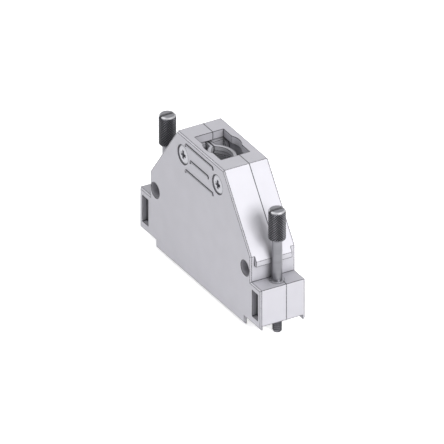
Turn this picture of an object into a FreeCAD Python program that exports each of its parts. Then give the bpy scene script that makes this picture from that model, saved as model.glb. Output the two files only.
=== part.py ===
import FreeCAD, Part
import os
import re
import Sketcher

# Metal hood for a 37-way D-sub cable connector, in millimetres.
# The origin is the centre of the connector seat: +Z points up to the cable entry,
# +X runs along the connector, and -Y is the front face with the screw heads.

SIZES = [
    # Outline of the two half shells, seen from the front
    ("screw_pitch", 63.5),
    ("ear_end", 3.25),
    ("body_inset", 2.65),
    ("top_width", 26.8),
    ("skirt_inset", 3.3),
    ("skirt_drop", 3.6),
    ("lip_drop", 1.3),
    ("ear_height", 12.0),
    ("shoulder_height", 20.3),
    ("body_height", 41.55),
    ("front_depth", 7.4),
    ("rear_depth", 7.65),
    ("parting", 1.25),
    ("edge_bevel", 0.42),
    ("plate", 1.5),
    ("wall", 1.6),
    ("slope_wall", 1.8),
    ("top_wall", 2.6),
    # Overhanging band at the foot of each sloping side
    ("band_overhang", 1.05),
    ("band_height", 1.7),
    ("band_half_depth", 6.0),
    # Room for the connector
    ("room_inset", 0.15),
    ("room_height", 9.0),
    ("flange_room", 13.4),
    ("flange_shift", 0.125),
    # Cable entry
    ("entry_width", 15.3),
    ("entry_depth", 9.6),
    ("entry_bore", 11.3),
    # Ears that hold the jackscrews
    ("ear_room", 4.4),
    ("ear_floor", 0.8),
    ("ear_roof", 1.2),
    ("window_width", 3.4),
    ("window_low", 1.3),
    ("window_top", 10.0),
    ("shank_clearance", 0.17),
    ("overlap", 0.3),
    # Jackscrews
    ("head_diameter", 5.2),
    ("head_length", 9.8),
    ("head_underside", 26.0),
    ("head_bevel", 0.35),
    ("slot_width", 0.9),
    ("slot_depth", 1.1),
    ("shank_diameter", 3.06),
    ("thread_diameter", 2.84),
    ("thread_length", 4.9),
    ("thread_reach", 4.85),
    ("thread_bevel", 0.25),
    ("stop_diameter", 3.9),
    ("stop_height", 1.2),
    ("float_travel", 4.5),
    # Retaining rings on the shanks
    ("ring_diameter", 4.5),
    ("ring_thickness", 0.5),
    ("groove_diameter", 2.66),
    ("ring_clearance", 0.05),
    # Screws and nuts beside the cable entry
    ("neck_pitch", 20.0),
    ("neck_drop", 6.35),
    ("neck_thread", 3.0),
    ("neck_head", 5.8),
    ("neck_head_height", 1.9),
    ("neck_sink", 2.0),
    ("neck_boss", 7.4),
    ("neck_nut_flats", 5.5),
    ("neck_nut_height", 2.4),
    ("neck_recess_gap", 0.15),
    # Screws and nuts at the lower corners
    ("corner_inset", 3.15),
    ("corner_height", 15.3),
    ("corner_thread", 2.0),
    ("corner_head", 4.0),
    ("corner_head_height", 1.6),
    ("corner_sink", 4.0),
    ("corner_boss", 6.0),
    ("corner_nut_flats", 4.0),
    ("corner_nut_height", 1.6),
    ("corner_recess_gap", 0.45),
    ("hole_clearance", 0.1),
    ("nut_sink", 0.2),
    ("cross_width", 0.6),
    ("cross_depth", 1.0),
    ("cross_share", 0.62),
    ("crown_share", 0.8),
    # Cable clamps
    ("clamp_thickness", 0.8),
    ("clamp_gap", 0.3),
    ("clamp_length", 26.4),
    ("clamp_height", 6.5),
    ("arch_width", 10.4),
    ("arch_rise", 3.0),
    ("tooth_height", 0.35),
    ("tooth_width", 0.5),
    ("tooth_pitch", 1.7),
    ("tooth_gaps", 3),
    # Raised beads on the front face
    ("bead_width", 0.45),
    ("bead_height", 0.2),
    ("bead_leg", 1.0),
    ("bead_long", 16.2),
    ("bead_short", 10.8),
    ("bead_shift", 0.5),
    ("bead_drop", 1.75),
    ("bead_step", 4.3),
]
ALIASES = [alias for alias, _ in SIZES]

OUTER_HALF = "(screw_pitch / 2 + ear_end)"
BODY_HALF = "(screw_pitch / 2 - body_inset)"
SKIRT_HALF = f"({BODY_HALF} - skirt_inset)"
ROOM_HALF = f"({BODY_HALF} - room_inset)"
SLOPE_RUN = f"({BODY_HALF} - top_width / 2)"
SLOPE_RISE = "(body_height - shoulder_height)"
SLOPE_LENGTH = f"(sqrt({SLOPE_RUN} * {SLOPE_RUN} + {SLOPE_RISE} * {SLOPE_RISE}))"
INNER_TOP = "(body_height - top_wall)"
FLANGE_MIDDLE = "((rear_depth - front_depth) / 2 - flange_shift)"
CLAMP_FACE = "(clamp_gap / 2 + clamp_thickness)"
ARCH_RADIUS = "((arch_width * arch_width / 4 + arch_rise * arch_rise) / (2 * arch_rise))"
LEAST_CHANGE = 1e-6
SIDES = (("left", "-"), ("right", ""))
KINDS = {
    "neck": ("(neck_pitch / 2)", "(body_height - neck_drop)"),
    "corner": (f"({BODY_HALF} - corner_inset)", "corner_height"),
}

doc = FreeCAD.newDocument("ConnectorHood")
sheet = doc.addObject("Spreadsheet::Sheet", "Sizes")


def fill_sheet():
    for row, (alias, value) in enumerate(SIZES, 1):
        sheet.set(f"A{row}", alias)
        sheet.set(f"B{row}", str(value))
        sheet.setAlias(f"B{row}", alias)
    doc.recompute()


def bound(formula):
    """A formula of size names as an expression on the sheet."""
    return re.sub(r"[a-z_]{4,}", lambda m: f"Sizes.{m[0]}" if m[0] in ALIASES else m[0], str(formula))


def value_of(formula):
    return float(sheet.evalExpression(bound(formula)))


def negated(formula):
    return f"-({formula})"


def mirrored(points):
    """Points of the right half, followed by their mirror images on the left."""
    return points + [(negated(x), z) for x, z in reversed(points)]


def rectangle(low_x, high_x, low_y, high_y):
    return [(low_x, low_y), (high_x, low_y), (high_x, high_y), (low_x, high_y)]


def new_body(name):
    body = doc.addObject("PartDesign::Body", name)
    body.Label = name
    return body


def new_sketch(body, name, role, level):
    """A sketch on one of the body's own planes, moved to a level along X, Y or Z."""
    sketch = body.newObject("Sketcher::SketchObject", name)
    plane = next(f for f in body.Origin.OriginFeatures if f.Role == role)
    sketch.AttachmentSupport = [(plane, "")]
    sketch.MapMode = "FlatFace"
    away = negated(level) if role == "XZ_Plane" else level
    sketch.setExpression("AttachmentOffset.Base.z", bound(away))
    return sketch


def fix(sketch, kind, element, point, formula):
    """Tie a point's distance from the sketch's origin to a formula."""
    number = sketch.addConstraint(
        Sketcher.Constraint(kind, -1, 1, element, point, value_of(formula))
    )
    sketch.setExpression(f"Constraints[{number}]", bound(formula))


def draw_outline(sketch, points):
    corners = [FreeCAD.Vector(value_of(x), value_of(y), 0) for x, y in points]
    count = len(corners)
    for index in range(count):
        sketch.addGeometry(Part.LineSegment(corners[index], corners[(index + 1) % count]))
    for index in range(count):
        sketch.addConstraint(Sketcher.Constraint("Coincident", index, 2, (index + 1) % count, 1))
    for index, (x, y) in enumerate(points):
        fix(sketch, "DistanceX", index, 1, x)
        fix(sketch, "DistanceY", index, 1, y)


def draw_circle(sketch, x, y, diameter):
    centre = FreeCAD.Vector(value_of(x), value_of(y), 0)
    element = sketch.addGeometry(
        Part.Circle(centre, FreeCAD.Vector(0, 0, 1), value_of(diameter) / 2)
    )
    number = sketch.addConstraint(Sketcher.Constraint("Diameter", element, value_of(diameter)))
    sketch.setExpression(f"Constraints[{number}]", bound(diameter))
    fix(sketch, "DistanceX", element, 3, x)
    fix(sketch, "DistanceY", element, 3, y)


def finish_feature(body, feature, adds):
    """Recompute, and stop if a feature failed or changed nothing."""
    before = body.Shape.Volume if body.Shape.Solids else 0.0
    body.Tip = feature
    doc.recompute()
    change = body.Shape.Volume - before
    if "Invalid" in feature.State or (change if adds else -change) <= LEAST_CHANGE:
        raise RuntimeError(f"{body.Label}: {feature.Label} changed the volume by {change:.4f}")
    return feature


def prism(body, name, role, shape, start, end, adds):
    """Pad or pocket an outline, or a circle given as (x, y, diameter), between two levels."""
    sketch = new_sketch(body, f"{name}Sketch", role, start)
    if isinstance(shape, tuple):
        draw_circle(sketch, *shape)
    else:
        draw_outline(sketch, shape)
    feature = body.newObject(f"PartDesign::{'Pad' if adds else 'Pocket'}", name)
    feature.Profile = sketch
    rises = value_of(end) > value_of(start)
    feature.setExpression("Length", bound(f"({end}) - ({start})" if rises else f"({start}) - ({end})"))
    along_normal = rises != (role == "XZ_Plane")
    feature.Reversed = along_normal != adds
    sketch.Visibility = False
    return finish_feature(body, feature, adds)


def pad(body, name, role, shape, start, end):
    return prism(body, name, role, shape, start, end, True)


def pocket(body, name, role, shape, start, end):
    return prism(body, name, role, shape, start, end, False)


def turned(body, name, points):
    """Turn a half section, given as radius and height, about the body's own Z axis."""
    sketch = new_sketch(body, f"{name}Sketch", "XZ_Plane", "0")
    draw_outline(sketch, points)
    feature = body.newObject("PartDesign::Revolution", name)
    feature.Profile = sketch
    feature.ReferenceAxis = (sketch, ["V_Axis"])
    feature.Angle = 360
    sketch.Visibility = False
    return finish_feature(body, feature, True)


def place(body, x, y, z, faces_front=False):
    """Put a body at its seat; one that faces the front has its own Z axis along -Y."""
    if faces_front:
        body.Placement.Rotation = FreeCAD.Rotation(FreeCAD.Vector(1, 0, 0), 90)
    for axis, formula in zip("xyz", (x, y, z)):
        body.setExpression(f"Placement.Base.{axis}", bound(formula))


# Half shells

def shell_outline():
    return mirrored([
        (SKIRT_HALF, "-skirt_drop"),
        (SKIRT_HALF, "-lip_drop"),
        (OUTER_HALF, "-lip_drop"),
        (OUTER_HALF, "ear_height"),
        (BODY_HALF, "ear_height"),
        (BODY_HALF, "shoulder_height"),
        ("top_width / 2", "body_height"),
    ])


def cavity_outline():
    inner_x = f"{BODY_HALF} - wall"
    shoulder = f"shoulder_height + ({SLOPE_RISE} * wall - slope_wall * {SLOPE_LENGTH}) / {SLOPE_RUN}"
    reach = f"(slope_wall * {SLOPE_LENGTH} + {SLOPE_RUN} * ({SLOPE_RISE} - top_wall)) / {SLOPE_RISE}"
    return mirrored([
        (ROOM_HALF, "-overlap"),
        (ROOM_HALF, "room_height"),
        (inner_x, "room_height"),
        (inner_x, shoulder),
        (f"{BODY_HALF} - {reach}", INNER_TOP),
    ])


def band_outline(sign):
    """The foot of the slope: it runs on past the side wall and ends in a short drop."""
    root = f"{BODY_HALF} - overlap"
    tip = f"{BODY_HALF} + band_overhang"
    level = f"(shoulder_height - band_overhang * {SLOPE_RISE} / {SLOPE_RUN})"
    points = [
        (BODY_HALF, "shoulder_height"),
        (tip, level),
        (tip, f"{level} - band_height"),
        (root, f"{level} - band_height"),
        (root, "shoulder_height"),
    ]
    return [(f"{sign}({x})", z) for x, z in points]


def bead_outline(length, level):
    """A flat bead whose two ends turn down, a little left of the middle."""
    half, under = f"{length} / 2", f"{level} - bead_width"
    outer = mirrored([
        (half, f"{level} - bead_leg"),
        (half, under),
        (f"{half} - bead_width", level),
    ])
    inner = mirrored([
        (f"{half} - bead_width", f"{level} - bead_leg"),
        (f"{half} - bead_width", under),
    ])
    return [(f"{x} - bead_shift", z) for x, z in outer + inner[::-1]]


def ear_span(sign, width):
    """Low and high X of something of this width, centred on a jackscrew."""
    centre = f"{sign}screw_pitch / 2"
    return f"{centre} - {width} / 2", f"{centre} + {width} / 2"


def bevel_face(body, base, face_y):
    """Bevel the edges round the shell's flat outer face."""
    edges = [
        f"Edge{number}"
        for number, edge in enumerate(base.Shape.Edges, 1)
        if all(abs(vertex.Y - face_y) < LEAST_CHANGE for vertex in edge.Vertexes)
    ]
    bevel = body.newObject("PartDesign::Chamfer", "FaceBevel")
    bevel.Base = (base, edges)
    bevel.setExpression("Size", bound("edge_bevel"))
    finish_feature(body, bevel, False)


def hollow_shell(body, out, depth):
    """Open the connector room, the flange recess and the two screw rooms."""
    inside = f"{out}({depth} - plate)"
    pocket(body, "Cavity", "XZ_Plane", cavity_outline(), "parting", inside)
    half = f"{OUTER_HALF} + overlap"
    recess = rectangle(negated(half), half, "-skirt_drop - overlap", "0")
    pocket(body, "FlangeRecess", "XZ_Plane", recess, "parting", f"{FLANGE_MIDDLE} + ({out}flange_room / 2)")
    for side, sign in SIDES:
        room = rectangle(*ear_span(sign, "ear_room"), "ear_floor", "ear_height - ear_roof")
        pocket(body, f"ScrewRoom{side}", "XZ_Plane", room, "parting", inside)
        window = rectangle(*ear_span(sign, "window_width"), "window_low", "window_top")
        pocket(body, f"Window{side}", "XZ_Plane", window, "parting", f"{out}{depth}")


def cut_screw_ways(body, slotted):
    """Vertical holes for the shanks; a slotted half lets the screw be laid in from behind."""
    bore = "shank_diameter + 2 * shank_clearance"
    high, low = "ear_height + overlap", "-overlap"
    for side, sign in SIDES:
        way = (f"{sign}screw_pitch / 2", "0", bore)
        pocket(body, f"ShankWay{side}", "XY_Plane", way, high, low)
        if slotted:
            slot = rectangle(*ear_span(sign, f"({bore})"), "0", "parting + overlap")
            pocket(body, f"ShankSlot{side}", "XY_Plane", slot, high, low)


def cut_entry(body):
    """The mouth for the cable: a rectangle, cut on through the bosses, with two round bulges."""
    half_x, half_y = "entry_width / 2", "entry_depth / 2"
    mouth = rectangle(negated(half_x), half_x, negated(half_y), half_y)
    top = "body_height + overlap"
    pocket(body, "Mouth", "XY_Plane", mouth, top, f"{KINDS['neck'][1]} - neck_boss / 2 - overlap")
    pocket(body, "MouthBulge", "XY_Plane", ("0", "0", "entry_bore"), top, f"{INNER_TOP} - overlap")


def add_bosses(body, out, depth):
    """Round bosses at the neck, which stop at the cable clamp, and a block in each lower corner."""
    root = f"{out}({depth} - plate + overlap)"
    (neck_x, neck_z), (corner_x, corner_z) = KINDS["neck"], KINDS["corner"]
    near, far = f"{corner_x} - corner_boss / 2", f"{BODY_HALF} - overlap"
    low, high = f"{corner_z} - corner_boss / 2", f"{corner_z} + corner_boss / 2"
    for side, sign in SIDES:
        neck = (f"{sign}{neck_x}", neck_z, "neck_boss")
        pad(body, f"NeckBoss{side}", "XZ_Plane", neck, f"{out}{CLAMP_FACE}", root)
        spans = (negated(far), negated(near)) if sign else (near, far)
        pad(body, f"CornerBoss{side}", "XZ_Plane", rectangle(*spans, low, high), "parting", root)


def drill(body, name, kind, diameter, start, end):
    """One pair of round holes along Y, on the axes of the screws of one kind."""
    x, z = KINDS[kind]
    for side, sign in SIDES:
        pocket(body, f"{name}{side}", "XZ_Plane", (f"{sign}{x}", z, diameter), start, end)


def raise_half(name, out, depth):
    """What both halves share: the outside, the rooms, the bosses, the mouth and the screw holes."""
    body = new_body(name)
    face = f"{out}{depth}"
    base = pad(body, "Block", "XZ_Plane", shell_outline(), "parting", face)
    bevel_face(body, base, value_of(face))
    for side, sign in SIDES:
        pad(body, f"Band{side}", "XZ_Plane", band_outline(sign), "parting", f"{out}band_half_depth")
    hollow_shell(body, out, depth)
    add_bosses(body, out, depth)
    cut_entry(body)
    for kind in KINDS:
        bore, past = f"{kind}_thread + 2 * hole_clearance", f"parting - ({out}overlap)"
        drill(body, f"Bore{kind}", kind, bore, f"{out}({depth} + overlap)", past)
    return body


def build_front_shell():
    body = raise_half("front_shell", "-", "front_depth")
    cut_screw_ways(body, True)
    for kind in KINDS:
        recess, floor = f"{kind}_head + 2 * {kind}_recess_gap", f"{kind}_sink - front_depth"
        drill(body, f"Recess{kind}", kind, recess, "-front_depth", floor)
    for number, length in enumerate(("bead_long", "bead_short", "bead_long")):
        outline = bead_outline(length, f"(body_height - bead_drop - {number} * bead_step)")
        root, crest = "overlap - front_depth", "-front_depth - bead_height"
        pad(body, f"Bead{number}", "XZ_Plane", outline, root, crest)


def hexagon(x, y, flats):
    """Corners of a hexagon that stands on a point."""
    half, corner = f"({flats}) / 2", f"({flats}) / (2 * cos(30 deg))"
    return [
        (x, f"{y} + {corner}"),
        (f"{x} - {half}", f"{y} + {corner} / 2"),
        (f"{x} - {half}", f"{y} - {corner} / 2"),
        (x, f"{y} - {corner}"),
        (f"{x} + {half}", f"{y} - {corner} / 2"),
        (f"{x} + {half}", f"{y} + {corner} / 2"),
    ]


def build_rear_shell():
    body = raise_half("rear_shell", "", "rear_depth")
    cut_screw_ways(body, False)
    for kind, (x, z) in KINDS.items():
        floor = f"rear_depth - {kind}_nut_height - nut_sink"
        flats = f"{kind}_nut_flats + 2 * hole_clearance"
        for side, sign in SIDES:
            seat = hexagon(f"{sign}{x}", z, flats)
            pocket(body, f"{kind.title()}Seat{side}", "XZ_Plane", seat, "rear_depth", floor)


# Jackscrews and their retaining rings

def jackscrew_section():
    shank, head, thread = "shank_diameter / 2", "head_diameter / 2", "thread_diameter / 2"
    stop_top = "(ear_height - ear_roof - float_travel)"
    groove_low = "ear_height - ring_clearance"
    groove_high = "ear_height + ring_thickness + ring_clearance"
    head_top = "head_underside + head_length"
    return [
        ("0", "-thread_reach"),
        (f"{thread} - thread_bevel", "-thread_reach"),
        (thread, "-thread_reach + thread_bevel"),
        (thread, "thread_length - thread_reach"),
        (shank, "thread_length - thread_reach"),
        (shank, f"{stop_top} - stop_height"),
        ("stop_diameter / 2", f"{stop_top} - stop_height"),
        ("stop_diameter / 2", stop_top),
        (shank, stop_top),
        (shank, groove_low),
        ("groove_diameter / 2", groove_low),
        ("groove_diameter / 2", groove_high),
        (shank, groove_high),
        (shank, "head_underside"),
        (head, "head_underside"),
        (head, f"{head_top} - head_bevel"),
        (f"{head} - head_bevel", head_top),
        ("0", head_top),
    ]


def build_jackscrews():
    for side, sign in SIDES:
        body = new_body(f"{side}_thumbscrew")
        turned(body, "Blank", jackscrew_section())
        half = "head_diameter / 2 + overlap"
        slot = rectangle("-slot_width / 2", "slot_width / 2", negated(half), half)
        head_top = "head_underside + head_length"
        pocket(body, "Slot", "XY_Plane", slot, f"{head_top} + overlap", f"{head_top} - slot_depth")
        place(body, f"{sign}screw_pitch / 2", "0", "0")


def build_rings():
    for side, sign in SIDES:
        body = new_body(f"{side}_retaining_ring")
        pad(body, "Disc", "XY_Plane", ("0", "0", "ring_diameter"), "0", "ring_thickness")
        bore = ("0", "0", "groove_diameter + 2 * ring_clearance")
        pocket(body, "Bore", "XY_Plane", bore, "ring_thickness + overlap", "-overlap")
        place(body, f"{sign}screw_pitch / 2", "0", "ear_height")


# Screws and nuts that hold the halves together

def build_case_screws(kind):
    """Cross-head screws: the underside of the head is at the body's own origin."""
    head, height, thread = f"{kind}_head / 2", f"{kind}_head_height", f"{kind}_thread / 2"
    reach = f"(front_depth - {kind}_sink + rear_depth - 2 * nut_sink)"
    section = [
        ("0", negated(reach)),
        (thread, negated(reach)),
        (thread, "0"),
        (head, "0"),
        (head, f"{height} / 2"),
        (f"{head} * crown_share", height),
        ("0", height),
    ]
    for side, sign in SIDES:
        body = new_body(f"{side}_{kind}_screw")
        turned(body, "Blank", section)
        arm = f"{head} * cross_share"
        across = rectangle(negated(arm), arm, "-cross_width / 2", "cross_width / 2")
        upright = rectangle("-cross_width / 2", "cross_width / 2", negated(arm), arm)
        for name, slot in (("Across", across), ("Upright", upright)):
            pocket(body, name, "XY_Plane", slot, f"{height} + overlap", f"{height} - cross_depth")
        x, z = KINDS[kind]
        place(body, f"{sign}{x}", f"-front_depth + {kind}_sink", z, True)


def build_nuts(kind):
    """Hexagon nuts sunk into the rear shell: the inner face is at the body's own origin."""
    for side, sign in SIDES:
        body = new_body(f"{side}_{kind}_nut")
        height = f"{kind}_nut_height"
        pad(body, "Hexagon", "XY_Plane", hexagon("0", "0", f"{kind}_nut_flats"), negated(height), "0")
        bore = ("0", "0", f"{kind}_thread + hole_clearance")
        pocket(body, "Bore", "XY_Plane", bore, "overlap", f"-{height} - overlap")
        x, z = KINDS[kind]
        place(body, f"{sign}{x}", f"rear_depth - {height} - nut_sink", z, True)


# Cable clamps

def build_clamp(name, sign):
    """A strap with two drilled wings and an arch whose inner face has grip teeth."""
    body = new_body(name)
    hole_x, hole_z = KINDS["neck"]
    low, high = f"({hole_z} - clamp_height / 2)", f"({hole_z} + clamp_height / 2)"
    above, below = f"{high} + overlap", f"{low} - overlap"
    near, far = "clamp_gap / 2", CLAMP_FACE
    centre = f"({near} + arch_rise - {ARCH_RADIUS})"
    disc = ("0", f"{sign}{centre}", f"2 * ({ARCH_RADIUS} + clamp_thickness)")
    pad(body, "Arch", "XY_Plane", disc, low, high)
    wide = f"(2 * ({ARCH_RADIUS} + clamp_thickness))"
    spans = (near, negated(wide)) if not sign else (negated(near), wide)
    pocket(body, "Trim", "XY_Plane", rectangle(negated(wide), wide, *spans), above, below)
    half = "clamp_length / 2"
    wings = rectangle(negated(half), half, f"{sign}{near}", f"{sign}{far}")
    pad(body, "Wings", "XY_Plane", wings, low, high)
    throat = ("0", f"{sign}{centre}", f"2 * ({ARCH_RADIUS} - tooth_height)")
    pocket(body, "Throat", "XY_Plane", throat, above, below)
    groove = ("0", f"{sign}{centre}", f"2 * {ARCH_RADIUS}")
    for number in range(int(value_of("tooth_gaps"))):
        foot = f"({low} + tooth_width + {number} * tooth_pitch)"
        pocket(body, f"ToothGap{number}", "XY_Plane", groove, f"{foot} + tooth_pitch - tooth_width", foot)
    for side, hand in SIDES:
        hole = (f"{hand}{hole_x}", hole_z, "neck_thread + 2 * hole_clearance")
        start, end = f"{sign}({far} + overlap)", f"{sign}({near} - overlap)"
        pocket(body, f"Hole{side}", "XZ_Plane", hole, start, end)


def check_and_export():
    """Stop on any failed object, then write one STEP file for each sub-part."""
    failed = [o.Label for o in doc.Objects if "Invalid" in o.State or "Error" in o.State]
    if failed:
        raise RuntimeError(f"failed objects: {failed}")
    bodies = [o for o in doc.Objects if o.TypeId == "PartDesign::Body"]
    for body in bodies:
        if body.Shape.isNull() or not body.Shape.isValid() or len(body.Shape.Solids) != 1:
            raise RuntimeError(f"{body.Label} isn't one valid solid")
    os.makedirs("parts", exist_ok=True)
    for body in bodies:
        body.Shape.exportStep(f"parts/{body.Label}.step")
        print(f"{body.Label}: {body.Shape.Volume:.2f} cubic millimetres")


def main():
    fill_sheet()
    build_front_shell()
    build_rear_shell()
    build_jackscrews()
    build_rings()
    for kind in KINDS:
        build_case_screws(kind)
        build_nuts(kind)
    build_clamp("front_cable_clamp", "-")
    build_clamp("rear_cable_clamp", "")
    doc.recompute()
    check_and_export()


main()
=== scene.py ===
import bmesh
import bpy
import math
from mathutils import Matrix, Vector


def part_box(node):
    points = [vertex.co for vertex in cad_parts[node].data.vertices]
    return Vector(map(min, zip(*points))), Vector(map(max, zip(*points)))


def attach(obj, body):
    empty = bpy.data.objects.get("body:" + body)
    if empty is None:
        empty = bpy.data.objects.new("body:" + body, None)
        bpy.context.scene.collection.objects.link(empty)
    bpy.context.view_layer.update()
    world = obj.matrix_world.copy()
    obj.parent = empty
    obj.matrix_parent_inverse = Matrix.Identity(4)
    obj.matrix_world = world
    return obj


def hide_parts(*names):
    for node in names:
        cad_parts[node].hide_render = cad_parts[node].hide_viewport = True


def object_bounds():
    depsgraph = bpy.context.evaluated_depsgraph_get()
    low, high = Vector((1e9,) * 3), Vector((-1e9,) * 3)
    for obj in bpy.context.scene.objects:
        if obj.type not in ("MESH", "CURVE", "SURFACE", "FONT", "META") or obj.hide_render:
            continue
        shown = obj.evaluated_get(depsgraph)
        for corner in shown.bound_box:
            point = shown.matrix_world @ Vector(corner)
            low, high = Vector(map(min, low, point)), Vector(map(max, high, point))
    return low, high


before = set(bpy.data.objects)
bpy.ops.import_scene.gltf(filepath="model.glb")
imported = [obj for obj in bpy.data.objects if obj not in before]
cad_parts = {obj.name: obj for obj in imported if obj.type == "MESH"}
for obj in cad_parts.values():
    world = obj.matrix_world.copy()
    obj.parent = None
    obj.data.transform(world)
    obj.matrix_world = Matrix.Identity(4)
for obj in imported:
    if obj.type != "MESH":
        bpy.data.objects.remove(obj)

bl_info = {
    "name": "Connector hood",
    "version": (1, 0, 0),
    "blender": (4, 5, 0),
    "location": "3D View > Sidebar > Hood",
    "description": "Finishes a metal connector hood and sets up its studio",
    "category": "Object",
}

MM = 0.001
SIDES = ("left", "right")
CASE_SCREWS = ("neck", "corner")
SHELLS = ("front_shell", "rear_shell")
CLAMPS = ("front_cable_clamp", "rear_cable_clamp")
TURN = 2 * math.pi
CAD_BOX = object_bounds()

# Meshes: facets round each turned piece, and the angle up to which faces are smoothed
JACK_FACETS, RING_FACETS, SCREW_FACETS, NUT_FACETS = 72, 64, 56, 72
JACK_TURN_STEPS, CASE_TURN_STEPS = 40, 32  # steps in one turn of a thread
SMOOTH_DEGREES, NUT_SMOOTH, THREAD_SMOOTH = 35, 25, 20
LEAST_FACES = 8
ON_AXIS = 1e-7

# Jackscrews: the collar ends just below the roof of the ear when the screw is drawn up
COLLAR_RADIUS, COLLAR_HEIGHT, COLLAR_TOP = 1.95 * MM, 1.2 * MM, 6.28 * MM
GROOVE_RADIUS = 1.33 * MM
KNURL_BED, KNURL_END_GAP = 0.22 * MM, 0.15 * MM
TOOTH_MARGIN, TOOTH_REACH = 1.02, 0.98  # shares of the step between two teeth
RIM_STEP, RIM_ROUND, RIM_NECK = 0.06 * MM, 0.08 * MM, 0.05 * MM
RIM_REACH, END_FACE_TILT = 1.3, 0.97  # share of the bevel, and Z of the end face's normal
JACK_CORE = 0.8  # share of the crest's radius

# Retaining rings
RING_BORE, RING_THICKNESS, RING_BEVEL = 1.38 * MM, 0.5 * MM, 0.1 * MM
RING_PLAY = 0.05 * MM

# Case screws and nuts: shares are of the thread's radius, the head or the nut's half width
CASE_CORE, CASE_POINT, POINT_LENGTH = 0.82, 0.72, 0.3 * MM
CASE_PITCH = 0.5 * MM
CROWN_START, CROWN_STEPS, CROWN_FLAT, CROWN_ROUND = 0.84, 7, 0.55, 0.45
CROWN_TOP = 0.5
CROSS_HALF, CROSS_DEPTH, CROSS_TAPER = 0.2, 1.0 * MM, 0.55
CUT_ABOVE = 0.5 * MM
NUT_CONE, NUT_CONE_DEGREES, NUT_BORE_PLAY = 0.97, 30, 0.04 * MM

# Looks of the metals
EDGE_GAIN, EDGE_START = 60.0, -0.2
# Painted shade: where occlusion leaves less open than the first number, the colour darkens towards
# the second share of itself
OPEN_AIR, CAVITY_SHADE_SHARE = 0.92, 0.42
GRAIN_DEPTH, GRAIN_BUMP = 0.02 * MM, 0.35
ROUGH_SWING = 0.12
THREAD_COLOUR = (0.15, 0.15, 0.16)
TOOTH_TIP_COLOUR = (0.18, 0.18, 0.195)
TIP_WEAR = 2.4  # the higher, the less of each tooth is rubbed bright

# Studio: name, place, size, power and colour of each lamp, which all look at one point
LAMPS = (
    ("key_lamp", (0.46, 0.03, 0.28), 0.26, 2.4, (1.0, 0.995, 0.99)),
    ("high_lamp", (-0.1, -0.28, 0.52), 0.3, 0.6, (1.0, 1.0, 1.0)),
    ("edge_lamp", (-0.37, -0.25, 0.23), 0.2, 0.36, (1.0, 1.0, 1.0)),
    ("slope_lamp", (0.36, 0.24, 0.36), 0.3, 0.2, (1.0, 1.0, 1.0)),
    ("fill_lamp", (-0.25, -0.45, 0.2), 0.5, 0.12, (0.99, 0.99, 1.0)),
    ("back_lamp", (-0.3, 0.3, 0.42), 0.5, 0.2, (0.99, 0.99, 1.0)),
)
LAMP_AIM = (0, 0, 0.015)
WORLD_LIGHT = 0.3
FLOOR_GLOW = 0.7
FLOOR_HALF, FLOOR_GAP = 1.5, 0.02 * MM
VIEW_BACK = (0.75, -0.4330127, 0.5)
VIEW_AIM = (0, -0.09, 15.606)
VIEW_PIXELS, PIXELS_PER_MM = 444, 3.452
VIEW_DISTANCE = 0.5


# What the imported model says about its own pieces

def centre_of(node):
    low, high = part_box(node)
    return (low + high) / 2


def size_of(node):
    low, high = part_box(node)
    return high - low


# Sizes and colours that a user may change

def length_property(name, description, default_mm):
    return bpy.props.FloatProperty(
        name=name, description=description, default=default_mm * MM, unit="LENGTH", precision=5
    )


def colour_property(name, description, default):
    return bpy.props.FloatVectorProperty(
        name=name, description=description, default=default, subtype="COLOR", size=3, min=0, max=1
    )


class HoodMetals(bpy.types.PropertyGroup):
    shell: colour_property("Shell", "Satin plating on the die-cast halves", (0.50, 0.495, 0.535))
    # Edge line: painted shade, a dark line along every edge and crease, not a colour of the metal
    line: colour_property("Edge line", "Darker metal along every edge", (0.03, 0.03, 0.036))
    shank: colour_property("Shank", "Turned steel of the jackscrews", (0.2, 0.2, 0.217))
    knurl: colour_property("Knurl", "Blackened flanks of the knurl", (0.016, 0.016, 0.02))
    # Head rim: a lighter copy of the steel on the bevel round each head, a painted highlight
    rim: colour_property("Head rim", "Bright turned end of each head", (0.46, 0.46, 0.48))
    fastener: colour_property("Fasteners", "Nickel-plated screws and nuts", (0.42, 0.42, 0.45))
    clamp: colour_property("Clamps", "Zinc-plated clamp straps", (0.52, 0.52, 0.55))
    line_width: length_property("Line width", "Reach of the darker edge on each side", 0.34)
    grain: length_property("Cast grain", "Size of the grain in the plating", 0.35)


class HoodJackscrew(bpy.types.PropertyGroup):
    columns: bpy.props.IntProperty(
        name="Knurl columns", description="Teeth round the head", default=21, min=8, max=60
    )
    rows: bpy.props.IntProperty(
        name="Knurl rows", description="Staggered rows of teeth", default=33, min=4, max=80
    )
    tooth: length_property("Tooth depth", "How far each tooth stands out", 0.2)
    rim: length_property("Rim bevel", "Bevel round the end of the head", 0.45)
    slot_width: length_property("Slot width", "Width of the driver slot", 0.9)
    slot_depth: length_property("Slot depth", "Depth of the driver slot", 1.1)
    head_length: length_property("Head length", "Length of the knurled head", 9.8)
    pitch: length_property("Thread pitch", "Rise of the thread in one turn", 0.635)
    thread_length: length_property("Thread length", "Length of the threaded end", 4.9)
    thread_diameter: length_property("Thread", "Outside diameter of the thread", 2.84)
    shank_diameter: length_property("Shank", "Diameter of the plain shank", 3.06)


class HoodFasteners(bpy.types.PropertyGroup):
    neck_thread: length_property("Neck thread", "Thread of the screws at the entry", 3.0)
    neck_height: length_property("Neck head", "Height of their heads", 1.9)
    corner_thread: length_property("Corner thread", "Thread of the screws at the corners", 2.0)
    corner_height: length_property("Corner head", "Height of their heads", 1.6)
    recess: bpy.props.FloatProperty(
        name="Cross recess", description="Reach of the recess as a share of the head's radius",
        default=0.56, min=0.3, max=0.8, subtype="FACTOR",
    )


# Meshes

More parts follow.
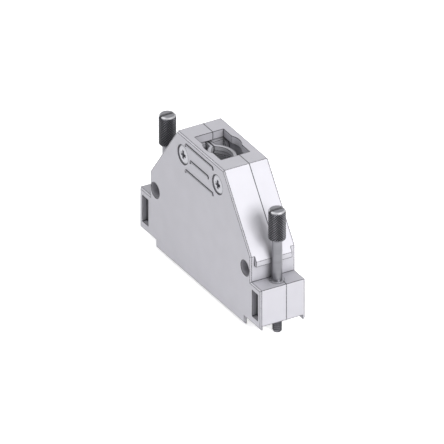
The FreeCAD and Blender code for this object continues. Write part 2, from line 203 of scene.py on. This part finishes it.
def ring_of(mesh, radius, level, count):
    """A closed ring of vertices, or one vertex where the radius is nothing."""
    if radius < ON_AXIS:
        return [mesh.verts.new((0, 0, level))]
    return [
        mesh.verts.new((radius * math.cos(TURN * k / count),
                        radius * math.sin(TURN * k / count), level))
        for k in range(count)
    ]


def bridge(mesh, lower, upper):
    """Faces between two rings, either of which may be a single vertex."""
    count = max(len(lower), len(upper))
    for k in range(count):
        after = (k + 1) % count
        corners = [lower[k % len(lower)], lower[after % len(lower)],
                   upper[after % len(upper)], upper[k % len(upper)]]
        distinct = list(dict.fromkeys(corners))
        if len(distinct) > 2:
            mesh.faces.new(distinct)


def lathe(profile, count):
    """A turned mesh from (radius, level) pairs; both ends reach the axis, or the profile closes."""
    mesh = bmesh.new()
    rings = [ring_of(mesh, radius, level, count) for radius, level in profile]
    for lower, upper in zip(rings, rings[1:]):
        bridge(mesh, lower, upper)
    if profile[0][0] > ON_AXIS:
        bridge(mesh, rings[-1], rings[0])
    bmesh.ops.recalc_face_normals(mesh, faces=mesh.faces)
    return mesh


def prism(corners, low, high, shrink=1.0):
    """A closed bar on a flat outline, which may taper towards its lower end."""
    mesh = bmesh.new()
    foot = [mesh.verts.new((x * shrink, y * shrink, low)) for x, y in corners]
    head = [mesh.verts.new((x, y, high)) for x, y in corners]
    bridge(mesh, foot, head)
    mesh.faces.new(head)
    mesh.faces.new(foot[::-1])
    bmesh.ops.recalc_face_normals(mesh, faces=mesh.faces)
    return mesh


def rounded(profile, corner, size, steps):
    """The profile with one of its corners, given by index, turned to an arc."""
    before, at, after = (Vector(profile[corner + shift]) for shift in (-1, 0, 1))
    start = at + (before - at).normalized() * size
    end = at + (after - at).normalized() * size
    arc = []
    for k in range(steps + 1):
        t = k / steps
        arc.append(tuple(start * (1 - t) ** 2 + at * 2 * t * (1 - t) + end * t ** 2))
    return profile[:corner] + arc + profile[corner + 1:]


def to_object(mesh, name, material, smooth_angle=SMOOTH_DEGREES):
    data = bpy.data.meshes.new(name)
    mesh.to_mesh(data)
    mesh.free()
    data.materials.append(material)
    made = bpy.data.objects.new(name, data)
    bpy.context.scene.collection.objects.link(made)
    soften(data, smooth_angle)
    return made


def soften(data, degrees):
    """Smooth shading, with every edge sharper than the angle kept sharp."""
    mesh = bmesh.new()
    mesh.from_mesh(data)
    for face in mesh.faces:
        face.smooth = True
    for edge in mesh.edges:
        edge.smooth = edge.is_manifold and edge.calc_face_angle(0) < math.radians(degrees)
    mesh.to_mesh(data)
    mesh.free()


def settle(made, name):
    """Replace an object's mesh by what its modifiers make of it, and remove them."""
    seen = made.evaluated_get(bpy.context.evaluated_depsgraph_get())
    data = bpy.data.meshes.new_from_object(seen)
    data.name = name
    made.modifiers.clear()
    made.data = data


def cut(made, cutter_mesh):
    """Take a cutter's space out of an object."""
    cutter = to_object(cutter_mesh, made.name + "_cutter", made.data.materials[0])
    tool = made.modifiers.new("Cut", "BOOLEAN")
    tool.operation, tool.solver, tool.object = "DIFFERENCE", "EXACT", cutter
    settle(made, made.name)
    bpy.data.objects.remove(cutter)
    if len(made.data.polygons) < LEAST_FACES:
        raise RuntimeError(made.name + " was lost in its cut")
    soften(made.data, SMOOTH_DEGREES)


def stand(made, place, faces_front=False):
    """Move the mesh itself to its seat; a screw that faces the front has its head along -Y."""
    for vertex in made.data.vertices:
        x, y, z = vertex.co
        vertex.co = place + (Vector((x, -z, y)) if faces_front else vertex.co)
    made.data.update()


# Materials

def new_material(name):
    made = bpy.data.materials.new(name)
    made.use_nodes = True
    return made, made.node_tree.nodes, made.node_tree.links


def add(nodes, kind, **values):
    made = nodes.new(kind)
    for key, value in values.items():
        if key in made.inputs:
            made.inputs[key].default_value = value
        else:
            setattr(made, key, value)
    return made


def math_node(nodes, links, operation, first, second=0.0, third=None, clamp=False):
    made = nodes.new("ShaderNodeMath")
    made.operation, made.use_clamp = operation, clamp
    for socket, value in zip(made.inputs, (first, second, third)):
        if hasattr(value, "is_linked"):
            links.new(value, socket)
        elif value is not None:
            socket.default_value = value
    return made.outputs[0]


def edge_shade_mask(nodes, links, width):
    """1 along every edge, however it is seen, and 0 on the faces: where a dark line of painted shade
    goes.
    """
    bevel = add(nodes, "ShaderNodeBevel", samples=8, Radius=width)
    flat = nodes.new("ShaderNodeNewGeometry")
    match = add(nodes, "ShaderNodeVectorMath", operation="DOT_PRODUCT")
    links.new(bevel.outputs["Normal"], match.inputs[0])
    links.new(flat.outputs["Normal"], match.inputs[1])
    away = math_node(nodes, links, "SUBTRACT", 1.0, match.outputs["Value"])
    return math_node(nodes, links, "MULTIPLY_ADD", away, EDGE_GAIN, EDGE_START, clamp=True)


def painted_cavity_shade(nodes, links, reach):
    """0 on open faces and up to 1 deep in corners and cavities: where shade is painted into the
    colour.
    """
    near = add(nodes, "ShaderNodeAmbientOcclusion", samples=8, Distance=reach)
    return math_node(nodes, links, "MULTIPLY_ADD", near.outputs["AO"], -1.0, OPEN_AIR, clamp=True)


def stretched(nodes, links, stretch):
    """Object coordinates, stretched so that a pattern runs in streaks."""
    place = nodes.new("ShaderNodeTexCoord")
    mapping = add(nodes, "ShaderNodeMapping", Scale=stretch)
    links.new(place.outputs["Object"], mapping.inputs["Vector"])
    return mapping.outputs["Vector"]


def metal(name, colour, line, rough, metallic, width, tone, grain=0.5 * MM, stretch=(1, 1, 1),
          edge_shade_share=0.95, reach=3 * MM):
    """Metal with a fine grain, an uneven tone, painted shade in corners and cavities and a dark line
    of painted shade along its edges.
    """
    made, nodes, links = new_material(name)
    shader = nodes["Principled BSDF"]
    shader.inputs["Metallic"].default_value = metallic
    place = stretched(nodes, links, stretch)
    fine = add(nodes, "ShaderNodeTexNoise", Scale=1 / grain, Detail=3.0, Roughness=0.6)
    broad = add(nodes, "ShaderNodeTexNoise", Scale=0.06 / grain, Detail=2.0, Roughness=0.5)
    for texture in (fine, broad):
        links.new(place, texture.inputs["Vector"])
    shade = add(nodes, "ShaderNodeValToRGB")
    dark, light = shade.color_ramp.elements
    dark.position, light.position = 0.3, 0.7
    dark.color = (*[c * (1 - tone) for c in colour], 1)
    light.color = (*[min(1, c * (1 + tone)) for c in colour], 1)
    links.new(broad.outputs["Fac"], shade.inputs["Fac"])
    # Painted shade: a dark line along every edge, convex and concave, also on narrow chamfers
    mask = edge_shade_mask(nodes, links, width)
    share = math_node(nodes, links, "MULTIPLY", mask, edge_shade_share)
    mix = add(nodes, "ShaderNodeMix", data_type="RGBA")
    links.new(share, mix.inputs["Factor"])
    # Painted shade: corners and cavities take a darker copy of the colour
    cavity_shade = add(nodes, "ShaderNodeMix", data_type="RGBA")
    links.new(painted_cavity_shade(nodes, links, reach), cavity_shade.inputs["Factor"])
    links.new(shade.outputs["Color"], cavity_shade.inputs[6])
    cavity_shade.inputs[7].default_value = (*[c * CAVITY_SHADE_SHARE for c in colour], 1)
    links.new(cavity_shade.outputs[2], mix.inputs[6])
    mix.inputs[7].default_value = (*line, 1)
    links.new(mix.outputs[2], shader.inputs["Base Color"])
    uneven = math_node(nodes, links, "MULTIPLY_ADD", fine.outputs["Fac"], ROUGH_SWING,
                       rough - ROUGH_SWING / 2)
    links.new(uneven, shader.inputs["Roughness"])
    bump = add(nodes, "ShaderNodeBump", Strength=GRAIN_BUMP, Distance=GRAIN_DEPTH)
    links.new(fine.outputs["Fac"], bump.inputs["Height"])
    links.new(bump.outputs["Normal"], shader.inputs["Normal"])
    return made


def knurl_metal(name, dark, light):
    """Blackened teeth whose tips are rubbed bright."""
    made, nodes, links = new_material(name)
    shader = nodes["Principled BSDF"]
    shader.inputs["Metallic"].default_value = 0.75
    place = nodes.new("ShaderNodeTexCoord")
    worn = nodes.new("ShaderNodeAttribute")
    worn.attribute_name = "tip"
    noise = add(nodes, "ShaderNodeTexNoise", Scale=1 / (0.8 * MM), Detail=2.0)
    links.new(place.outputs["Object"], noise.inputs["Vector"])
    rubbed = math_node(nodes, links, "POWER", worn.outputs["Fac"], TIP_WEAR)
    uneven = math_node(nodes, links, "MULTIPLY_ADD", noise.outputs["Fac"], 0.6, 0.5)
    share = math_node(nodes, links, "MULTIPLY", rubbed, uneven, clamp=True)
    mix = add(nodes, "ShaderNodeMix", data_type="RGBA")
    links.new(share, mix.inputs["Factor"])
    mix.inputs[6].default_value = (*dark, 1)
    mix.inputs[7].default_value = (*light, 1)
    links.new(mix.outputs[2], shader.inputs["Base Color"])
    links.new(
        math_node(nodes, links, "MULTIPLY_ADD", noise.outputs["Fac"], 0.2, 0.3),
        shader.inputs["Roughness"],
    )
    return made


# Knurl, as a tree of Geometry Nodes

KNURL_SIZES = (
    ("Columns", "NodeSocketInt"), ("Rows", "NodeSocketInt"), ("Radius", "NodeSocketFloat"),
    ("Lowest", "NodeSocketFloat"), ("Row Step", "NodeSocketFloat"),
    ("Tooth Reach", "NodeSocketFloat"), ("Tooth Depth", "NodeSocketFloat"),
    ("Material", "NodeSocketMaterial"),
)


def knurl_tree():
    """Small pyramids in staggered rows round a cylinder."""
    tree = bpy.data.node_groups.new("Knurl", "GeometryNodeTree")
    for name, kind in KNURL_SIZES:
        tree.interface.new_socket(name=name, in_out="INPUT", socket_type=kind)
    tree.interface.new_socket(name="Geometry", in_out="OUTPUT", socket_type="NodeSocketGeometry")
    nodes, links = tree.nodes, tree.links
    given = nodes.new("NodeGroupInput").outputs
    index = nodes.new("GeometryNodeInputIndex").outputs[0]

    def calc(operation, first, second=0.0, third=None):
        return math_node(nodes, links, operation, first, second, third)

    row = calc("FLOOR", calc("DIVIDE", index, given["Columns"]))
    column = calc("FLOORED_MODULO", index, given["Columns"])
    shifted = calc("MULTIPLY_ADD", calc("FLOORED_MODULO", row, 2.0), 0.5, column)
    angle = calc("DIVIDE", calc("MULTIPLY", shifted, TURN), given["Columns"])
    place = nodes.new("ShaderNodeCombineXYZ")
    links.new(calc("MULTIPLY", calc("COSINE", angle), given["Radius"]), place.inputs[0])
    links.new(calc("MULTIPLY", calc("SINE", angle), given["Radius"]), place.inputs[1])
    links.new(calc("MULTIPLY_ADD", row, given["Row Step"], given["Lowest"]), place.inputs[2])
    points = nodes.new("GeometryNodePoints")
    links.new(calc("MULTIPLY", given["Columns"], given["Rows"]), points.inputs["Count"])
    links.new(place.outputs[0], points.inputs["Position"])
    tooth = nodes.new("GeometryNodeMeshCone")
    tooth.inputs["Vertices"].default_value = 4
    links.new(calc("MULTIPLY", given["Tooth Reach"], 0.3), tooth.inputs["Radius Top"])
    links.new(given["Tooth Reach"], tooth.inputs["Radius Bottom"])
    links.new(given["Tooth Depth"], tooth.inputs["Depth"])
    height = nodes.new("GeometryNodeInputPosition")
    up = nodes.new("ShaderNodeSeparateXYZ")
    links.new(height.outputs[0], up.inputs[0])
    tip = nodes.new("GeometryNodeStoreNamedAttribute")
    tip.data_type, tip.domain = "FLOAT", "POINT"
    tip.inputs["Name"].default_value = "tip"
    links.new(tooth.outputs["Mesh"], tip.inputs["Geometry"])
    links.new(calc("DIVIDE", up.outputs[2], given["Tooth Depth"]), tip.inputs["Value"])
    laid = nodes.new("GeometryNodeTransform")
    laid.inputs["Rotation"].default_value = (0, math.pi / 2, 0)
    links.new(tip.outputs[0], laid.inputs["Geometry"])
    facing = nodes.new("ShaderNodeCombineXYZ")
    links.new(angle, facing.inputs[2])
    spread = nodes.new("GeometryNodeInstanceOnPoints")
    links.new(points.outputs[0], spread.inputs["Points"])
    links.new(laid.outputs[0], spread.inputs["Instance"])
    links.new(facing.outputs[0], spread.inputs["Rotation"])
    real = nodes.new("GeometryNodeRealizeInstances")
    links.new(spread.outputs[0], real.inputs[0])
    dressed = nodes.new("GeometryNodeSetMaterial")
    links.new(real.outputs[0], dressed.inputs["Geometry"])
    links.new(given["Material"], dressed.inputs["Material"])
    links.new(dressed.outputs[0], nodes.new("NodeGroupOutput").inputs["Geometry"])
    return tree


def run_tree(name, tree, values):
    """Run a tree with these inputs on an empty object, and keep the mesh that it makes."""
    made = bpy.data.objects.new(name, bpy.data.meshes.new(name))
    bpy.context.scene.collection.objects.link(made)
    modifier = made.modifiers.new(name, "NODES")
    modifier.node_group = tree
    for item in tree.interface.items_tree:
        if item.in_out == "INPUT":
            modifier[item.identifier] = values[item.name]
    settle(made, name)
    if not made.data.polygons:
        raise RuntimeError(name + " came out empty")
    return made


# Thread

def thread_mesh(major, minor, pitch, low, high, count):
    """A V-shaped ridge that winds round a core: it starts blunt and fades out at the top."""
    mesh = bmesh.new()
    turns = (high - low) / pitch - 1
    steps = int(turns * count)
    sections = []
    foot, root, flat = pitch * 0.46, minor * 0.94, pitch * 0.08
    for k in range(steps + 1):
        angle = TURN * k / count
        level = low + foot + pitch * k / count
        fade = min(1.0, 3.0 * (steps - k) / count)
        crest = minor + (major - minor) * fade
        sections.append([
            mesh.verts.new((radius * math.cos(angle), radius * math.sin(angle), level + shift))
            for radius, shift in ((root, -foot), (crest, -flat), (crest, flat), (root, foot))
        ])
    for before, after in zip(sections, sections[1:]):
        bridge(mesh, before, after)
    mesh.faces.new(sections[0])
    mesh.faces.new(sections[-1][::-1])
    bmesh.ops.recalc_face_normals(mesh, faces=mesh.faces)
    return mesh


# Operators

class HOOD_OT_shells(bpy.types.Operator):
    """Give the two die-cast halves their satin plating"""
    bl_idname = "hood.shells"
    bl_label = "Shells"

    def execute(self, context):
        metals = context.scene.hood_metals
        for node in SHELLS:
            plating = metal(
                "satin_plating_" + node, metals.shell, metals.line, rough=0.52, metallic=0.3,
                width=metals.line_width, tone=0.02, grain=metals.grain,
            )
            dress(node, plating)
        return {"FINISHED"}


def dress(node, material):
    """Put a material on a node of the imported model, in its own slots."""
    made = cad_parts[node]
    if not made.material_slots:
        made.data.materials.append(material)
    for place in made.material_slots:
        place.material = material


def jackscrew_profile(sizes, low, head_low, head_top, ring_low):
    """The turned blank: thread core, shank with a collar and a groove, and head."""
    core = sizes.thread_diameter / 2 * JACK_CORE
    shank = sizes.shank_diameter / 2
    thread_top = low + sizes.thread_length
    head = size_of("left_thumbscrew").x / 2
    bed, rim_low = head - KNURL_BED, head_top - sizes.rim
    collar_low = COLLAR_TOP - COLLAR_HEIGHT
    groove_low, groove_top = ring_low - RING_PLAY, ring_low + RING_THICKNESS + RING_PLAY
    profile = [
        (0, low), (core, low), (core, thread_top), (shank, thread_top),
        (shank, collar_low), (COLLAR_RADIUS, collar_low),
        (COLLAR_RADIUS, COLLAR_TOP), (shank, COLLAR_TOP),
        (shank, groove_low), (GROOVE_RADIUS, groove_low),
        (GROOVE_RADIUS, groove_top), (shank, groove_top),
        (shank, head_low), (bed, head_low), (bed, rim_low - RIM_NECK),
        (head - RIM_STEP, rim_low), (head - sizes.rim, head_top), (0, head_top),
    ]
    return rounded(profile, len(profile) - 2, RIM_ROUND, 3)


class HOOD_OT_jackscrews(bpy.types.Operator):
    """Turn the two captive jackscrews, with slot, knurl and thread"""
    bl_idname = "hood.jackscrews"
    bl_label = "Jackscrews"

    def execute(self, context):
        sizes, metals = context.scene.hood_jackscrew, context.scene.hood_metals
        turned = metal(
            "turned_steel", metals.shank, metals.line, rough=0.3, metallic=0.9, width=0.09 * MM,
            tone=0.1, grain=0.6 * MM, stretch=(0.4, 0.4, 5), edge_shade_share=0.6,
        )
        # Painted highlight: the rim bevel takes a lighter copy of the steel
        bright = metal(
            "head_rim_highlight_steel", metals.rim, metals.line, rough=0.3, metallic=0.6, width=0.09 * MM,
            tone=0.08,
        )
        threaded = metal(
            "thread_steel", THREAD_COLOUR, metals.line, rough=0.34, metallic=0.85,
            width=0.05 * MM, tone=0.15, stretch=(1, 1, 3), edge_shade_share=0.3,
        )
        black = knurl_metal("knurl_steel", metals.knurl, TOOTH_TIP_COLOUR)
        tree = knurl_tree()
        for side in SIDES:
            node = side + "_thumbscrew"
            low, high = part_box(node)
            axis = centre_of(node)
            place = Vector((axis.x, axis.y, 0))
            ring_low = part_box(side + "_retaining_ring")[0].z
            head_low = high.z - sizes.head_length
            profile = jackscrew_profile(sizes, low.z, head_low, high.z, ring_low)
            blank = to_object(lathe(profile, JACK_FACETS), side + "_jackscrew", turned)
            half, reach = sizes.slot_width / 2, size_of(node).x
            corners = [(-half, -reach), (half, -reach), (half, reach), (-half, reach)]
            cut(blank, prism(corners, high.z - sizes.slot_depth, high.z + 1 * MM))
            blank.data.materials.append(bright)
            for face in blank.data.polygons:
                on_rim = face.center.z > high.z - sizes.rim * RIM_REACH
                if on_rim and face.normal.z < END_FACE_TILT:
                    face.material_index = 1
            crest = sizes.thread_diameter / 2
            ridge = thread_mesh(crest, crest * JACK_CORE, sizes.pitch, low.z,
                                low.z + sizes.thread_length, JACK_TURN_STEPS)
            thread = to_object(ridge, side + "_thread", threaded, THREAD_SMOOTH)
            outside = size_of(node).x / 2
            step = math.pi * outside / sizes.columns
            room = sizes.head_length - sizes.rim - KNURL_END_GAP
            margin = step * TOOTH_MARGIN
            rows = min(sizes.rows, int(room / step) - 1)
            knurl = run_tree(side + "_knurl", tree, {
                "Columns": sizes.columns, "Rows": rows,
                "Radius": outside - sizes.tooth, "Lowest": head_low + margin,
                "Row Step": (room - 2 * margin) / (rows - 1),
                "Tooth Reach": step * TOOTH_REACH, "Tooth Depth": sizes.tooth,
                "Material": black,
            })
            for made in (blank, thread, knurl):
                stand(made, place)
                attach(made, side + "_screw")
            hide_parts(node)
        return {"FINISHED"}


class HOOD_OT_rings(bpy.types.Operator):
    """Turn the two retaining rings that keep the jackscrews captive"""
    bl_idname = "hood.rings"
    bl_label = "Retaining rings"

    def execute(self, context):
        metals = context.scene.hood_metals
        spring = metal(
            "spring_steel", metals.clamp, metals.line, rough=0.34, metallic=0.85,
            width=0.17 * MM, tone=0.1, reach=2 * MM,
        )
        for side in SIDES:
            node = side + "_retaining_ring"
            low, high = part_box(node)
            outside = (high.x - low.x) / 2
            profile = [
                (RING_BORE, low.z), (outside - RING_BEVEL, low.z), (outside, low.z + RING_BEVEL),
                (outside, high.z - RING_BEVEL), (outside - RING_BEVEL, high.z), (RING_BORE, high.z),
            ]
            ring = to_object(lathe(profile, RING_FACETS), side + "_ring_washer", spring)
            stand(ring, Vector((centre_of(node).x, centre_of(node).y, 0)))
            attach(ring, side + "_ring")
            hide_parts(node)
        return {"FINISHED"}


def case_screw_profile(thread, head, height, length):
    """A core with a blunt point and a low crowned head, whose underside is at level 0."""
    core, crown_low = thread * CASE_CORE, height * CROWN_START
    profile = [
        (0, -length), (thread * CASE_POINT, -length), (core, -length + POINT_LENGTH),
        (core, 0), (head, 0), (head, crown_low),
    ]
    for k in range(1, CROWN_STEPS):
        turn = math.pi / 2 * k / CROWN_STEPS
        crown = crown_low + (height - crown_low) * math.sin(turn)
        profile.append((head * (CROWN_FLAT + CROWN_ROUND * math.cos(turn)), crown))
    return profile + [(head * CROWN_TOP, height), (0, height)]


class HOOD_OT_case_screws(bpy.types.Operator):
    """Turn the four cross-head screws that hold the halves together"""
    bl_idname = "hood.case_screws"
    bl_label = "Case screws"

    def execute(self, context):
        sizes, metals = context.scene.hood_fasteners, context.scene.hood_metals
        nickel = metal(
            "nickel_plating", metals.fastener, metals.line, rough=0.3, metallic=0.85,
            width=0.1 * MM, tone=0.08,
        )
        for kind in CASE_SCREWS:
            thread = getattr(sizes, kind + "_thread") / 2
            height = getattr(sizes, kind + "_height")
            for side in SIDES:
                node = f"{side}_{kind}_screw"
                low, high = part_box(node)
                head = (high.x - low.x) / 2
                under = low.y + height
                length = high.y - under
                profile = case_screw_profile(thread, head, height, length)
                screw = to_object(lathe(profile, SCREW_FACETS), f"{side}_{kind}_screw_body", nickel)
                arm, half = head * sizes.recess, head * CROSS_HALF
                for corners in (
                    [(-arm, -half), (arm, -half), (arm, half), (-arm, half)],
                    [(-half, -arm), (half, -arm), (half, arm), (-half, arm)],
                ):
                    cut(screw, prism(corners, height - CROSS_DEPTH, height + CUT_ABOVE, CROSS_TAPER))
                ridge = thread_mesh(thread, thread * CASE_CORE, CASE_PITCH, -length,
                                    -POINT_LENGTH, CASE_TURN_STEPS)
                wound = to_object(ridge, f"{side}_{kind}_screw_thread", nickel, THREAD_SMOOTH)
                for made in (screw, wound):
                    stand(made, Vector((centre_of(node).x, under, centre_of(node).z)), True)
                    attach(made, "shell")
                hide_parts(node)
        return {"FINISHED"}


class HOOD_OT_nuts(bpy.types.Operator):
    """Shape the four nuts in the rear half, with bevelled corners"""
    bl_idname = "hood.nuts"
    bl_label = "Nuts"

    def execute(self, context):
        sizes, metals = context.scene.hood_fasteners, context.scene.hood_metals
        plated = metal(
            "nut_plating", metals.fastener, metals.line, rough=0.33, metallic=0.85,
            width=0.08 * MM, tone=0.08,
        )
        for kind in CASE_SCREWS:
            bore = getattr(sizes, kind + "_thread") / 2 + NUT_BORE_PLAY
            for side in SIDES:
                node = f"{side}_{kind}_nut"
                low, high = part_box(node)
                nut = to_object(nut_mesh((high.x - low.x) / 2, bore, high.y - low.y),
                                f"{side}_{kind}_nut_body", plated, NUT_SMOOTH)
                stand(nut, Vector((centre_of(node).x, low.y, centre_of(node).z)), True)
                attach(nut, "shell")
                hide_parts(node)
        return {"FINISHED"}


def nut_mesh(flat, bore, height):
    """A hexagon that stands on a point, whose two ends are turned to a shallow cone."""
    mesh = bmesh.new()
    cone, slope = flat * NUT_CONE, math.tan(math.radians(NUT_CONE_DEGREES))
    rings = []
    for level, kind in ((0, "bore"), (0, "cone"), (0, "edge"), (height, "edge"), (height, "cone"),
                        (height, "bore")):
        ring = []
        for k in range(NUT_FACETS):
            angle = TURN * k / NUT_FACETS
            off = (angle + math.pi / 6) % (math.pi / 3) - math.pi / 6
            outer = flat / math.cos(off)
            radius = {"bore": bore, "cone": cone, "edge": outer}[kind]
            drop = (outer - cone) * slope if kind == "edge" else 0
            up = level - drop if level else drop
            ring.append(mesh.verts.new((radius * math.cos(angle), radius * math.sin(angle), -up)))
        rings.append(ring)
    for lower, upper in zip(rings, rings[1:] + rings[:1]):
        bridge(mesh, lower, upper)
    bmesh.ops.recalc_face_normals(mesh, faces=mesh.faces)
    return mesh


class HOOD_OT_clamps(bpy.types.Operator):
    """Give the two clamp straps their zinc plating"""
    bl_idname = "hood.clamps"
    bl_label = "Cable clamps"

    def execute(self, context):
        metals = context.scene.hood_metals
        for node in CLAMPS:
            dress(node, metal(
                "zinc_plating_" + node, metals.clamp, metals.line, rough=0.42, metallic=0.4,
                width=0.34 * MM, tone=0.08, grain=0.45 * MM, edge_shade_share=0.75,
            ))
        return {"FINISHED"}


class HOOD_OT_studio(bpy.types.Operator):
    """Set up the floor, the soft lamps, the world and the camera"""
    bl_idname = "hood.studio"
    bl_label = "Studio"

    def execute(self, context):
        scene = context.scene
        scene.view_settings.view_transform = "Standard"
        build_floor()
        build_world(scene)
        for name, place, size, power, colour in LAMPS:
            add_lamp(scene, name, Vector(place), size, power, colour)
        add_camera(scene)
        return {"FINISHED"}


def shows(nodes, links):
    """1 for camera, mirrored and refracted rays, and 0 for the light that falls on the object."""
    path = nodes.new("ShaderNodeLightPath")
    gloss = math_node(nodes, links, "MAXIMUM", path.outputs["Is Glossy Ray"],
                      path.outputs["Is Transmission Ray"])
    return math_node(nodes, links, "MAXIMUM", path.outputs["Is Camera Ray"], gloss)


def build_floor():
    """A pale plain floor that keeps the object's soft shadow."""
    made, nodes, links = new_material("studio_floor")
    shader = nodes["Principled BSDF"]
    shader.inputs["Roughness"].default_value = 0.9
    shader.inputs["Specular IOR Level"].default_value = 0.0
    noise = add(nodes, "ShaderNodeTexNoise", Scale=9.0, Detail=2.0)
    shade = add(nodes, "ShaderNodeValToRGB")
    shade.color_ramp.elements[0].color = (0.88, 0.88, 0.885, 1)
    shade.color_ramp.elements[1].color = (0.9, 0.9, 0.905, 1)
    links.new(noise.outputs["Fac"], shade.inputs["Fac"])
    links.new(shade.outputs["Color"], shader.inputs["Base Color"])
    glow = math_node(nodes, links, "MULTIPLY", shows(nodes, links), FLOOR_GLOW)
    links.new(glow, shader.inputs["Emission Strength"])
    shader.inputs["Emission Color"].default_value = (1, 1, 1, 1)
    mesh = bmesh.new()
    level = CAD_BOX[0].z - FLOOR_GAP
    corners = ((-1, -1), (1, -1), (1, 1), (-1, 1))
    mesh.faces.new([mesh.verts.new((x * FLOOR_HALF, y * FLOOR_HALF, level)) for x, y in corners])
    floor = to_object(mesh, "studio_floor", made)


def build_world(scene):
    """An even pale room: white where it is looked at, softer where it lights the object."""
    world = bpy.data.worlds.new("studio_world")
    scene.world = world
    world.use_nodes = True
    nodes, links = world.node_tree.nodes, world.node_tree.links
    background = nodes["Background"]
    background.inputs["Color"].default_value = (1, 1, 1, 1)
    strength = math_node(nodes, links, "MULTIPLY_ADD", shows(nodes, links), 1 - WORLD_LIGHT,
                         WORLD_LIGHT)
    links.new(strength, background.inputs["Strength"])


def add_lamp(scene, name, place, size, power, colour):
    data = bpy.data.lights.new(name, "AREA")
    data.shape, data.size = "SQUARE", size
    data.energy, data.color = power, colour
    lamp = bpy.data.objects.new(name, data)
    lamp.location = place
    lamp.rotation_euler = (Vector(LAMP_AIM) - place).to_track_quat("-Z", "Y").to_euler()
    scene.collection.objects.link(lamp)


def add_camera(scene):
    """A parallel view from the front right, 30 degrees above the floor."""
    data = bpy.data.cameras.new("studio_camera")
    data.type = "ORTHO"
    data.ortho_scale = VIEW_PIXELS / PIXELS_PER_MM * MM
    data.clip_start, data.clip_end = 0.01, 5
    camera = bpy.data.objects.new("studio_camera", data)
    back = Vector(VIEW_BACK)
    camera.location = Vector(VIEW_AIM) * MM + back * VIEW_DISTANCE
    camera.rotation_euler = (-back).to_track_quat("-Z", "Y").to_euler()
    scene.collection.objects.link(camera)
    scene.camera = camera


class HOOD_PT_panel(bpy.types.Panel):
    bl_idname = "HOOD_PT_panel"
    bl_label = "Connector hood"
    bl_space_type = "VIEW_3D"
    bl_region_type = "UI"
    bl_category = "Hood"

    def draw(self, context):
        scene = context.scene
        for group in (scene.hood_metals, scene.hood_jackscrew, scene.hood_fasteners):
            box = self.layout.box()
            for key in group.bl_rna.properties.keys():
                if key not in ("rna_type", "name"):
                    box.prop(group, key)
        for operator in OPERATORS:
            self.layout.operator(operator.bl_idname)


OPERATORS = (
    HOOD_OT_shells, HOOD_OT_jackscrews, HOOD_OT_rings, HOOD_OT_case_screws, HOOD_OT_nuts,
    HOOD_OT_clamps, HOOD_OT_studio,
)
GROUPS = {
    "hood_metals": HoodMetals, "hood_jackscrew": HoodJackscrew, "hood_fasteners": HoodFasteners,
}
CLASSES = (*GROUPS.values(), *OPERATORS, HOOD_PT_panel)


def register():
    for made in CLASSES:
        bpy.utils.register_class(made)
    for name, group in GROUPS.items():
        setattr(bpy.types.Scene, name, bpy.props.PointerProperty(type=group))


def unregister():
    for name in GROUPS:
        delattr(bpy.types.Scene, name)
    for made in reversed(CLASSES):
        bpy.utils.unregister_class(made)


def main():
    register()
    bpy.ops.hood.studio()
    bpy.ops.hood.shells()
    bpy.ops.hood.jackscrews()
    bpy.ops.hood.rings()
    bpy.ops.hood.case_screws()
    bpy.ops.hood.nuts()
    bpy.ops.hood.clamps()


if __name__ == "__main__":
    main()
